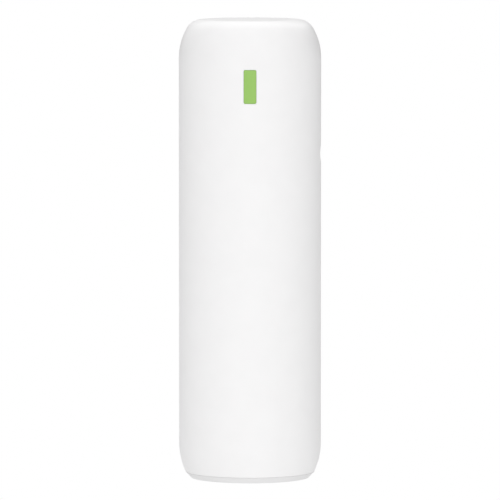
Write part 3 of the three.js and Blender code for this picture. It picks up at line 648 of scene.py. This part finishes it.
def base_profile():
    """The base in section: up inside its spigot, down its chamfer, and round the foot's groove."""
    bottom, rim = cover_low.z, BASE_RIM_Z
    inner_r, spigot_top, lip = SPIGOT_R - SPIGOT_WALL, cover_high.z, 0.3
    seam_r, chamfer_r = skin_profile(0)[0][0][0], 0.4
    slope = math.degrees(math.atan2(rim - bottom, seam_r - BASE_R))
    groove_out, groove_in = foot_high.x + FOOT_GAP, FOOT_INNER_R - FOOT_GAP
    groove_top, groove_edge = foot_high.z + FOOT_GAP, 0.25
    profile = [(inner_r, bottom + FLOOR_THICKNESS), (inner_r, spigot_top - lip)]
    profile += [(inner_r + lip, spigot_top), (SPIGOT_R - lip, spigot_top)]
    profile += [(SPIGOT_R, spigot_top - lip), (SPIGOT_R, rim)]
    profile += [(seam_r - lip, rim), (seam_r - 0.08, rim - 0.02), (seam_r - 0.03, rim - 0.08)]
    profile += reversed(arc(BASE_R - 0.1, bottom + chamfer_r, chamfer_r, -90, slope - 90, steps=5))
    profile += [(groove_out + groove_edge, bottom), (groove_out, bottom + groove_edge)]
    profile += [(groove_out, groove_top), (groove_in, groove_top)]
    profile += [(groove_in, bottom + groove_edge), (groove_in - groove_edge, bottom)]
    return profile


def make_base():
    shell = Shell()
    profile = base_profile()
    shell.revolve(profile)
    top_r, bottom_r = profile[0][0], profile[-1][0]
    bottom = cover_low.z

    def at(height):
        return lambda x, y: (x, y, bottom + height)

    slots, screws, label = base_slots(), base_screw_holes(), label_hole()
    holes = [*slots, *screws, label]
    shell.patch(turned(bottom_r), [hole.first() for hole in holes], at(0.0))
    top_holes = [hole.last() for hole in [*slots, *screws]]
    shell.patch(turned(top_r), top_holes, at(FLOOR_THICKNESS))
    for hole in holes:
        shell.rim(hole, lambda x, y, depth: (x, y, bottom + depth))
    shell.patch(label.last(), [], at(LABEL["depth"]))
    return shell.build("base_shell", "housing", "base_white", ["bottom_cover"])


def make_foot():
    low, high = foot_low.z, foot_high.z
    inner, outer, edge = FOOT_INNER_R, foot_high.x, 0.3
    shell = Shell()
    corners = [
        (outer - edge, low + edge, -90),
        (outer - edge, high - edge, 0),
        (inner + edge, high - edge, 90),
        (inner + edge, low + edge, 180),
    ]
    profile = []
    for radius, height, start in corners:
        profile += arc(radius, height, edge, start, start + 90, steps=4)
    shell.revolve([*profile, profile[0]])
    return shell.build("foot_pad", "housing", "foot_rubber", ["foot_ring"])


def make_label():
    low, high = box_mm("rating_label")
    radius, edge = high.x, 0.08
    shell = Shell()
    profile = [(0.0, low.z), (radius - edge, low.z), (radius, low.z + edge)]
    profile += [(radius, high.z), (0.0, high.z)]
    shell.revolve(profile, columns=96)
    return shell.build("label_disc", "housing", "label_film", ["rating_label"])


def cross_outline(reach, half_width):
    """A cross-shaped outline, as in the head of a cross-recess screw."""
    quarter = [(reach, -half_width), (reach, half_width), (half_width, half_width)]
    points = []
    for turn in range(4):
        points += moved(quarter, 0, 0, turn * math.pi / 2)
    return points


def make_base_screw(number, x, y, angle):
    node = f"base_screw_{number}"
    low, high = box_mm(node)
    length, head_height, drive_depth = high.z - low.z, SCREW["head_height"], 1.1
    head, shaft, rim, point = SCREW["head"], SCREW["shaft"], 0.35, 0.4
    drive_top = moved(cross_outline(reach=1.5, half_width=0.36), 0, 0, angle)
    drive_low = moved(cross_outline(reach=0.95, half_width=0.2), 0, 0, angle)
    shell = Shell()

    def at(depth):
        return lambda px, py: (x + px, y + py, low.z + depth)

    def rings(loops):
        shell.bridges([shell.ring([at(depth)(*p) for p in loop]) for loop, depth in loops])

    shell.patch(circle_outline(head - rim, 32), [drive_top], at(0.0))
    rings([(drive_top, 0.0), (drive_low, drive_depth)])
    shell.patch(drive_low, [], at(drive_depth))
    steps = [(head - rim, 0.0), (head - 0.1, 0.12), (head, rim), (head, head_height)]
    steps += [(shaft, head_height), (shaft, length - 0.5), (shaft - point, length)]
    rings([(circle_outline(radius, 32), depth) for radius, depth in steps])
    shell.patch(circle_outline(shaft - point, 32), [], at(length))
    return shell.build(f"base_fastener_{number}", "housing", "screw_steel", [node])


# ---------------------------------------------------------------- status window

# Behind its face, the light guide has a flange inside the wall and a narrower tail to the LEDs.
GUIDE_FLANGE = {"width": 7.6, "height": 17.0, "corner": 1.0, "front": -28.3, "back": -27.4}
GUIDE_TAIL = {"width": 4.0, "height": 12.0, "corner": 0.5}


def make_status_window():
    shell = Shell()
    face_r, edge = RADIUS - 0.04, 0.14
    front, back = GUIDE_FLANGE["front"], GUIDE_FLANGE["back"]

    def outline(size, grow=0.0):
        width, height = size["width"] + 2 * grow, size["height"] + 2 * grow
        return rounded_outline(width, height, size["corner"] + grow, spacing=1.3, turn_steps=5)

    def on_face(x, z, depth=0.0):
        return (x, depth - math.sqrt(face_r**2 - x**2), WINDOW["z"] + z)

    def at(y):
        return lambda x, z: (x, y, WINDOW["z"] + z)

    window, flange, tail = outline(WINDOW), outline(GUIDE_FLANGE), outline(GUIDE_TAIL)
    shell.patch(outline(WINDOW, -edge), [], on_face)
    rings = []
    for grow, depth in ((-edge, 0.0), (-0.3 * edge, 0.3 * edge), (0.0, edge)):
        rings.append(shell.ring([on_face(x, z, depth) for x, z in outline(WINDOW, grow)]))
    rings.append(shell.ring([at(front)(*p) for p in window]))
    shell.bridges(rings)
    shell.patch(flange, [window], at(front))
    shell.bridges([shell.ring([at(y)(*p) for p in flange]) for y in (front, back)])
    shell.patch(flange, [tail], at(back))
    shell.bridges([shell.ring([at(y)(*p) for p in tail]) for y in (back, guide_tail)])
    shell.patch(tail, [], at(guide_tail))
    return shell.build("status_window", "housing", "lens_green", ["light_guide"])


# ---------------------------------------------------------------- pairing button

BUTTON_FLANGE = {"grow": 1.2, "front": 27.6, "back": 26.4}
BUTTON_STEM_R = 1.6


def button_outline(grow):
    width, height = BUTTON["width"] + 2 * grow, BUTTON["height"] + 2 * grow
    return rounded_outline(width, height, height / 2, spacing=1.0, turn_steps=12)


def button_face(y, z, sink=0.0):
    """The button's face: the tower's skin, with a dish along its middle that blends into it."""
    half, depth = BUTTON["height"] / 2, BUTTON["dish_depth"]
    dish_r = (half**2 + depth**2) / (2 * depth)
    softness = 0.06
    skin = math.sqrt(RADIUS**2 - y**2)
    dish = RADIUS - depth + dish_r - math.sqrt(dish_r**2 - min(abs(z), half) ** 2)
    blended = 0.5 * (skin + dish - math.sqrt((skin - dish) ** 2 + softness**2))
    return (blended - sink, y, BUTTON["z"] + z)


def button_face_grid(border, inner, step):
    """Points inside inner, so that the dish keeps its shape between its borders."""
    low_y, high_y, low_z, high_z = extent(border)
    columns, rows = int((high_y - low_y) / step), int((high_z - low_z) / step)
    ys = [low_y + step * (i + 0.5) for i in range(columns)]
    zs = [low_z + step * (j + 0.5) for j in range(rows)]
    return [(y, z) for y in ys for z in zs if is_inside((y, z), inner)]


def make_button():
    shell = Shell()
    edge = 0.22
    front, back = BUTTON_FLANGE["front"], BUTTON_FLANGE["back"]
    flange, stem = button_outline(BUTTON_FLANGE["grow"]), circle_outline(BUTTON_STEM_R, 24)

    def at(x):
        return lambda y, z: (x, y, BUTTON["z"] + z)

    border = button_outline(-edge)
    grid = button_face_grid(border, button_outline(-edge - 0.25), 0.45)
    shell.patch(border, [], button_face, grid)
    path = [(-edge, 0.0), (-0.5 * edge, 0.14 * edge), (-0.14 * edge, 0.5 * edge), (0.0, edge)]
    rings = [shell.ring([button_face(y, z, sink) for y, z in button_outline(grow)]) for grow, sink in path]
    for outline, x in ((button_outline(0), front), (flange, front), (flange, back)):
        rings.append(shell.ring([at(x)(*p) for p in outline]))
    shell.bridges(rings)
    shell.patch(flange, [stem], at(back))
    shell.bridges([shell.ring([at(x)(*p) for p in stem]) for x in (back, button_tail)])
    shell.patch(stem, [], at(button_tail))
    return shell.build("button_cap", "pair_button", "shell_white", ["pair_button"])


# ---------------------------------------------------------------- port bay

TRAY = {"face_y": 24.5, "back_y": 23.0, "wall": 1.2, "inset": 0.2, "edge": 0.25, "fillet": 0.7}
JACK_HOLE = {"width": 14.0, "height": 16.4, "corner": 0.6}
NOSE_HOLE_R = 4.75
PINHOLE = {"x": -5.0, "z": 84.0, "radius": 0.9}

jack_middles = [middle_mm(f"ethernet_jack_{number}") for number in (1, 2)]
dc_middle = middle_mm("dc_jack_pin")


def tray_hole(outline, x, z):
    """A hole right through the tray's floor, with a rounded lip; outline grows with an offset."""
    path = round_lip(0.25) + [(0.0, TRAY["face_y"] - TRAY["back_y"])]
    return Hole(lambda offset: moved(outline(offset), x, z - BAY["z"]), path)


def jack_hole(middle):
    def outline(offset):
        width, height = JACK_HOLE["width"] + 2 * offset, JACK_HOLE["height"] + 2 * offset
        corner = JACK_HOLE["corner"] + offset
        return rounded_outline(width, height, corner, spacing=4.0, turn_steps=4)

    return tray_hole(outline, middle.x, middle.z)


def round_hole(x, z, radius, steps):
    return tray_hole(lambda offset: circle_outline(radius + offset, steps), x, z)


def make_port_panel():
    shell = Shell()
    width, height = BAY["width"] - 2 * TRAY["inset"], BAY["height"] - 2 * TRAY["inset"]
    corner, wall = BAY["corner"] - TRAY["inset"], TRAY["wall"]
    edge, fillet = TRAY["edge"], TRAY["fillet"]
    face_y, back_y = TRAY["face_y"], TRAY["back_y"]
    rim_r = RADIUS - 0.05

    def outline(inset):
        inner_width, inner_height = width - 2 * inset, height - 2 * inset
        return rounded_outline(inner_width, inner_height, corner - inset, spacing=2.0, turn_steps=8)

    def at(y):
        return lambda x, z: (x, y, BAY["z"] + z)

    def on_rim(x, z, depth):
        return (x, math.sqrt(rim_r**2 - x**2) - depth, BAY["z"] + z)

    rings = []
    for y, inset in ((back_y, edge), (back_y + edge, 0.0)):
        rings.append(shell.ring([at(y)(*p) for p in outline(inset)]))
    rim_path = [(0.0, edge), (0.3 * edge, 0.3 * edge), (edge, 0.0)]
    rim_path += [(wall - edge, 0.0), (wall - 0.3 * edge, 0.3 * edge), (wall, edge)]
    for inset, depth in rim_path:
        rings.append(shell.ring([on_rim(x, z, depth) for x, z in outline(inset)]))
    fillet_steps = 4
    for i in range(fillet_steps + 1):
        angle = math.pi / 2 * i / fillet_steps
        y, inset = face_y + fillet * (1 - math.sin(angle)), wall + fillet * (1 - math.cos(angle))
        rings.append(shell.ring([at(y)(*p) for p in outline(inset)]))
    shell.bridges(rings)
    holes = [jack_hole(middle) for middle in jack_middles]
    holes.append(round_hole(0.0, dc_middle.z, NOSE_HOLE_R, 48))
    holes.append(round_hole(PINHOLE["x"], PINHOLE["z"], PINHOLE["radius"], 20))
    shell.patch(outline(wall + fillet), [hole.first() for hole in holes], at(face_y))
    shell.patch(outline(edge), [hole.last() for hole in holes], at(back_y))
    for hole in holes:
        shell.rim(hole, lambda x, z, depth: at(face_y - depth)(x, z))
    return shell.build("port_tray", "housing", "panel_grey", ["port_panel"])


# A network socket's opening, from low to high across, and half each way in height. The notch for
# the latch reaches out past the high side, in two steps.
SOCKET = {"low": -5.3, "high": 3.3, "half": 5.95, "depth": 16.0, "lead_in": 0.35}
LATCH = {"reach": 5.7, "step": 1.0, "half": 3.2, "tab_half": 1.6}


def socket_outline(grow):
    """A network socket seen from outside: a rectangle with a stepped notch for the plug's latch."""
    low, high, half = SOCKET["low"] - grow, SOCKET["high"] + grow, SOCKET["half"] + grow
    reach, wide, tab = LATCH["reach"] + grow, LATCH["half"] + grow, LATCH["tab_half"] + grow
    step = reach - LATCH["step"]
    below = [(low, -half), (high, -half), (high, -wide), (step, -wide), (step, -tab), (reach, -tab)]
    return below + [(x, -z) for x, z in reversed(below)]


def make_jack(number, middle):
    node = f"ethernet_jack_{number}"
    low, high = box_mm(node)
    width, height, mouth = high.x - low.x, high.z - low.z, high.y
    corner, edge = 0.7, 0.2
    lead_in, depth = SOCKET["lead_in"], SOCKET["depth"]
    shell = Shell()

    def at(y):
        return lambda x, z: (x, y, middle.z + z)

    def outline(inset):
        inner_width, inner_height = width - 2 * inset, height - 2 * inset
        return rounded_outline(inner_width, inner_height, corner - inset, spacing=4.0, turn_steps=4)

    steps = [(mouth, edge), (mouth - 0.3 * edge, 0.3 * edge), (mouth - edge, 0.0)]
    steps += [(low.y + edge, 0.0), (low.y, edge)]
    shell.bridges([shell.ring([at(y)(*p) for p in outline(inset)]) for y, inset in steps])
    shell.patch(outline(edge), [], at(low.y))
    shell.patch(outline(edge), [socket_outline(lead_in)], at(mouth))
    steps = [(mouth, lead_in), (mouth - 0.5, 0.0), (mouth - depth, 0.0)]
    shell.bridges([shell.ring([at(y)(*p) for p in socket_outline(grow)]) for y, grow in steps])
    shell.patch(socket_outline(0.0), [], at(mouth - depth))
    return shell.build(f"network_socket_{number}", "housing", "black_plastic", [node])


def sweep(shell, path, half_width, half_height):
    """A strip of round-cornered section along a path of (x, y, z) points, all at one height."""
    corner = 0.45 * min(half_width, half_height)
    section = rounded_outline(2 * half_width, 2 * half_height, corner, spacing=9.0, turn_steps=2)
    rings = []
    for i, point in enumerate(path):
        before, after = path[max(i - 1, 0)], path[min(i + 1, len(path) - 1)]
        along = (Vector(after) - Vector(before)).normalized()
        up = Vector((-along.y, along.x, 0.0))
        rings.append(shell.ring([tuple(Vector(point) + Vector((0, 0, a)) + up * b) for a, b in section]))
    shell.bridges(rings)
    shell.faces.append(rings[0])
    shell.faces.append(rings[-1])


# A contact's side view, as points (rise from the socket's low side, distance in from its mouth).
CONTACT_BEND = [(0.35, 2.6), (0.45, 3.4), (0.75, 4.6), (1.55, 8.0), (2.35, 11.4), (2.6, 12.6), (2.5, 13.0)]
CONTACTS = {"count": 8, "pitch": 1.02, "half_width": 0.22, "half_height": 0.14}


def make_contacts(number, middle):
    """The sprung wires that rise from the socket's mouth side towards its back."""
    mouth = box_mm(f"ethernet_jack_{number}")[1].y
    shell = Shell()
    for i in range(CONTACTS["count"]):
        z = middle.z + (i - (CONTACTS["count"] - 1) / 2) * CONTACTS["pitch"]
        path = [(SOCKET["low"] + rise, mouth - inwards, z) for rise, inwards in CONTACT_BEND]
        sweep(shell, path, CONTACTS["half_width"], CONTACTS["half_height"])
    replaces = [f"jack_contacts_{number}"]
    return shell.build(f"socket_contacts_{number}", "housing", "contact_gold", replaces, quads=False)


POWER_NOSE = {"radius": 4.5, "length": 2.7}
POWER_BORE = {"radius": 3.2, "depth": 9.5}


def make_power_jack():
    low, high = box_mm("dc_jack")
    nose_r, nose_length = POWER_NOSE["radius"], POWER_NOSE["length"]
    bore_r, bore_depth = POWER_BORE["radius"], POWER_BORE["depth"]
    mouth, nose_back = high.y, high.y - nose_length
    shell = Shell()

    def at(y):
        return lambda x, z: (x, y, dc_middle.z + z)

    steps = [(bore_r, bore_depth), (bore_r, 0.45), (bore_r + 0.12, 0.15), (bore_r + 0.4, 0.0)]
    steps += [(nose_r - 0.3, 0.0), (nose_r - 0.08, 0.1), (nose_r, 0.35), (nose_r, mouth - nose_back)]
    rings = [shell.ring([at(mouth - depth)(*p) for p in circle_outline(r, 48)]) for r, depth in steps]
    shell.bridges(rings)
    shell.patch(circle_outline(bore_r, 48), [], at(mouth - bore_depth))
    width, height, middle_x = high.x - low.x, high.z - low.z, (high.x + low.x) / 2
    body = moved(rounded_outline(width, height, corner=0.4, spacing=4.0, turn_steps=3), middle_x, 0)
    shell.patch(body, [circle_outline(nose_r, 48)], at(nose_back))
    shell.bridges([shell.ring([at(y)(*p) for p in body]) for y in (nose_back, low.y)])
    shell.patch(body, [], at(low.y))
    return shell.build("power_socket", "housing", "black_plastic", ["dc_jack"])


def make_power_pin():
    low, high = box_mm("dc_jack_pin")
    radius, tip = (high.x - low.x) / 2, high.y
    shell = Shell()

    def at(y):
        return lambda x, z: (x, y, dc_middle.z + z)

    tip_steps = [(radius, 0.8), (0.85 * radius, 0.35), (0.5 * radius, 0.08)]
    steps = [(radius, low.y)] + [(r, tip - back) for r, back in tip_steps]
    shell.bridges([shell.ring([at(y)(*p) for p in circle_outline(r, 32)]) for r, y in steps])
    for r, y in (steps[-1], steps[0]):
        shell.patch(circle_outline(r, 32), [], at(y))
    return shell.build("power_pin", "housing", "screw_steel", ["dc_jack_pin"])


# ---------------------------------------------------------------- stage, light and camera

FLOOR_LIGHT = 0.969
# The studio brightens up to its ceiling, from the sine of an elevation upwards, and fades to black
# towards one corner, within the cosine of an angle from its direction.
CEILING_LIGHT = 1.135
CEILING_EDGE = -0.2
DARK_CORNER = (0.60, 0.80, 0.0)
DARK_CORNER_EDGE = 0.5
# Each lamp: where it stands and how large it is, in metres, its power, and the one kind of
# reflection that it makes: diffuse shading, or a glossy sheen.
LAMPS = {
    "front": ((0.0, -2.0, 0.6), (0.6, 1.2), 14.2, "diffuse"),
    "top": ((0.0, 1.2, 2.2), (0.8, 0.8), 14.1, "diffuse"),
    "right sheen": ((1.5, 1.5, 1.6), (1.0, 1.0), 6.5, "glossy"),
    "left sheen": ((-1.5, 1.5, 0.9), (0.8, 1.2), 2.0, "glossy"),
}


def camera_switch(tree, for_light, for_camera):
    """One shader for the rays that light the object, and another for what the camera sees."""
    rays = tree.nodes.new("ShaderNodeLightPath")
    mix = tree.nodes.new("ShaderNodeMixShader")
    tree.links.new(rays.outputs["Is Camera Ray"], mix.inputs["Fac"])
    tree.links.new(for_light, mix.inputs[1])
    tree.links.new(for_camera, mix.inputs[2])
    return mix.outputs["Shader"]


def make_floor():
    """A plain floor, seen from above only: backdrop white to the camera, and dimmer as a light."""
    mesh = bpy.data.meshes.new("floor")
    half, z = 6.0, -0.05 * MM
    corners = [(-half, -half, z), (half, -half, z), (half, half, z), (-half, half, z)]
    mesh.from_pydata(corners, [], [(0, 1, 2, 3)])
    floor = bpy.data.objects.new("floor", mesh)
    bpy.context.scene.collection.objects.link(floor)
    nodes = Nodes("white paper")
    shades = []
    for level in (FLOOR_LIGHT, 1.0):
        shade_node = nodes.tree.nodes.new("ShaderNodeEmission")
        shade_node.inputs["Strength"].default_value = level
        shades.append(shade_node.outputs["Emission"])
    one_sided = nodes.tree.nodes.new("ShaderNodeMixShader")
    nodes.link(nodes.tree.nodes.new("ShaderNodeNewGeometry").outputs["Backfacing"], one_sided.inputs["Fac"])
    nodes.link(camera_switch(nodes.tree, *shades), one_sided.inputs[1])
    nodes.link(nodes.tree.nodes.new("ShaderNodeBsdfTransparent").outputs["BSDF"], one_sided.inputs[2])
    nodes.link(one_sided.outputs["Shader"], nodes.tree.nodes["Material Output"].inputs["Surface"])
    mesh.materials.append(nodes.material)


def fade(tree, direction, middle, edge, outside, inside):
    """A level that goes from outside to inside as a direction nears middle, from a cosine of edge."""
    towards = tree.nodes.new("ShaderNodeVectorMath")
    towards.operation = "DOT_PRODUCT"
    towards.inputs[1].default_value = middle
    tree.links.new(direction, towards.inputs[0])
    level = tree.nodes.new("ShaderNodeMapRange")
    level.interpolation_type = "SMOOTHSTEP"
    level.inputs["From Min"].default_value = edge
    level.inputs["To Min"].default_value = outside
    level.inputs["To Max"].default_value = inside
    tree.links.new(towards.outputs["Value"], level.inputs["Value"])
    return level.outputs["Result"]


def make_world():
    """White where the camera looks past the object. As a light, it fades downwards and at a corner."""
    world = bpy.data.worlds.new("studio")
    bpy.context.scene.world = world
    world.use_nodes = True
    tree = world.node_tree
    lighting = tree.nodes["Background"]
    lighting.inputs["Color"].default_value = (1, 1, 1, 1)
    direction = tree.nodes.new("ShaderNodeTexCoord").outputs["Generated"]
    ceiling = fade(tree, direction, (0, 0, 1), CEILING_EDGE, 0.0, CEILING_LIGHT)
    corner = fade(tree, direction, DARK_CORNER, DARK_CORNER_EDGE, 1.0, 0.0)
    level = tree.nodes.new("ShaderNodeMath")
    level.operation = "MULTIPLY"
    tree.links.new(ceiling, level.inputs[0])
    tree.links.new(corner, level.inputs[1])
    tree.links.new(level.outputs["Value"], lighting.inputs["Strength"])
    backdrop = tree.nodes.new("ShaderNodeBackground")
    backdrop.inputs["Color"].default_value = (1, 1, 1, 1)
    surface = camera_switch(tree, lighting.outputs["Background"], backdrop.outputs["Background"])
    tree.links.new(surface, tree.nodes["World Output"].inputs["Surface"])


def make_lamps():
    """Soft lamps that face the tower. Those that only shade leave no bright mirror image on its top."""
    target = Vector((0, 0, TOP_Z * MM / 2))
    for name, (place, size, power, reflection) in LAMPS.items():
        data = bpy.data.lights.new(name, "AREA")
        data.shape = "RECTANGLE"
        data.size, data.size_y = size
        data.energy = power
        lamp = bpy.data.objects.new(name, data)
        bpy.context.scene.collection.objects.link(lamp)
        lamp.location = place
        lamp.rotation_euler = (target - lamp.location).to_track_quat("-Z", "Y").to_euler()
        lamp.visible_camera = False
        lamp.visible_diffuse = reflection == "diffuse"
        lamp.visible_glossy = reflection == "glossy"


def make_camera():
    """A long lens that looks slightly down on the middle of the tower."""
    distance, elevation = 2.545, math.radians(4.3)
    picture_height_mm = 218.3
    aim_drop_mm = 0.6
    centre = Vector((0, 0, (TOP_Z / 2 - aim_drop_mm) * MM))
    data = bpy.data.cameras.new("camera")
    data.sensor_width = 36.0
    data.lens = data.sensor_width * distance / (picture_height_mm * MM)
    camera = bpy.data.objects.new("camera", data)
    bpy.context.scene.collection.objects.link(camera)
    camera.location = centre + distance * Vector((0, -math.cos(elevation), math.sin(elevation)))
    camera.rotation_euler = (centre - camera.location).to_track_quat("-Z", "Y").to_euler()
    bpy.context.scene.camera = camera


make_camera()
dress_cad_nodes()
make_sleeve()
make_base()
make_foot()
make_label()
for index, spot in enumerate(screw_places(), 1):
    make_base_screw(index, *spot)
make_status_window()
make_button()
make_port_panel()
for index, jack_middle in enumerate(jack_middles, 1):
    make_jack(index, jack_middle)
    make_contacts(index, jack_middle)
make_power_jack()
make_power_pin()
make_floor()
make_world()
make_lamps()
bpy.context.scene.view_settings.view_transform = "Standard"
